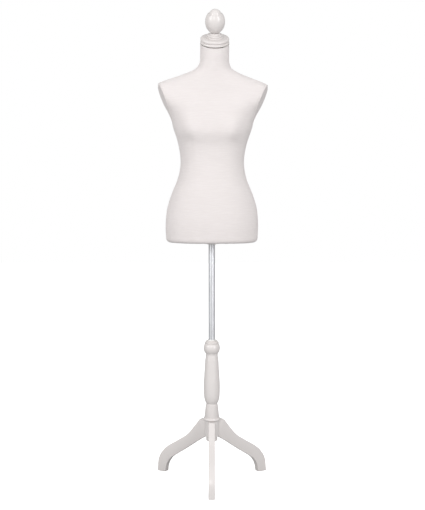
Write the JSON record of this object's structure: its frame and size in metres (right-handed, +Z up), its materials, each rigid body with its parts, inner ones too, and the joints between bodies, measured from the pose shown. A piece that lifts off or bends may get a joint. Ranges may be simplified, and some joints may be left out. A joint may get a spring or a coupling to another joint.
{
  "type": "dress form mannequin",
  "caption": "Jersey-covered female torso form on a height-adjustable steel pole in a turned wooden column with flat S-curved legs, wooden neck cap and finial.",
  "frame": {"origin": "on the floor, below the centre of the object's box; the pole axis stands 45.5 mm behind it", "axes": "+Z up along the pole, the form's front faces -Y, its left side is +X"},
  "size_m": [0.3924, 0.3495, 1.6364],
  "materials": {
    "white_paint": "satin",
    "screw_steel": "satin",
    "pole_steel": "satin",
    "white_nylon": "satin",
    "knob_plastic": "gloss",
    "brass": "satin",
    "jersey": "matte",
    "foam": "matte",
    "board": "matte"
  },
  "bodies": {
    "stand": {"column": "white_paint", "leg_front": "white_paint", "leg_right": "white_paint", "leg_left": "white_paint", "bottom_collar": "white_paint", "collar_screw_1": "screw_steel", "collar_screw_2": "screw_steel", "collar_screw_3": "screw_steel", "top_bush": "white_nylon", "clamp_insert": "brass"},
    "pole": {"pole": "pole_steel", "pole_head_plug": "white_nylon", "pole_foot_plug": "white_nylon"},
    "torso": {"fabric_cover": "jersey", "foam_core": "foam", "base_board": "board", "socket_flange": "white_nylon", "flange_screw_1": "screw_steel", "flange_screw_2": "screw_steel", "flange_screw_3": "screw_steel", "flange_screw_4": "screw_steel", "socket_tube": "screw_steel", "socket_cap": "white_nylon", "neck_block": "board", "neck_stud": "screw_steel", "neck_cap": "white_paint", "finial": "white_paint"},
    "clamp_pad": {"clamp_pad": "white_nylon"},
    "clamp_screw": {"clamp_stud": "screw_steel", "clamp_knob": "knob_plastic"}
  },
  "joints": [
    {"name": "pole_height", "type": "slide", "parent": "stand", "child": "pole", "axis": [0, 0, 1], "range_m": [-0.3, 0.08]},
    {"name": "torso_turn", "type": "hinge", "parent": "pole", "child": "torso", "pos_m": [0, 0.0455, 1.07], "axis": [0, 0, 1], "continuous": true},
    {"name": "clamp_slide", "type": "slide", "parent": "stand", "child": "clamp_pad", "axis": [0, 1, 0], "range_m": [0, 0.00374]},
    {"name": "clamp_turn", "type": "hinge", "parent": "clamp_pad", "child": "clamp_screw", "pos_m": [0, 0.0455, 0.4612], "axis": [0, 1, 0], "range_deg": [0, 1080]}
  ],
  "couplings": [
    {"joint": "clamp_turn", "follows": "clamp_slide", "rad_per_m": 5026.5}
  ]
}
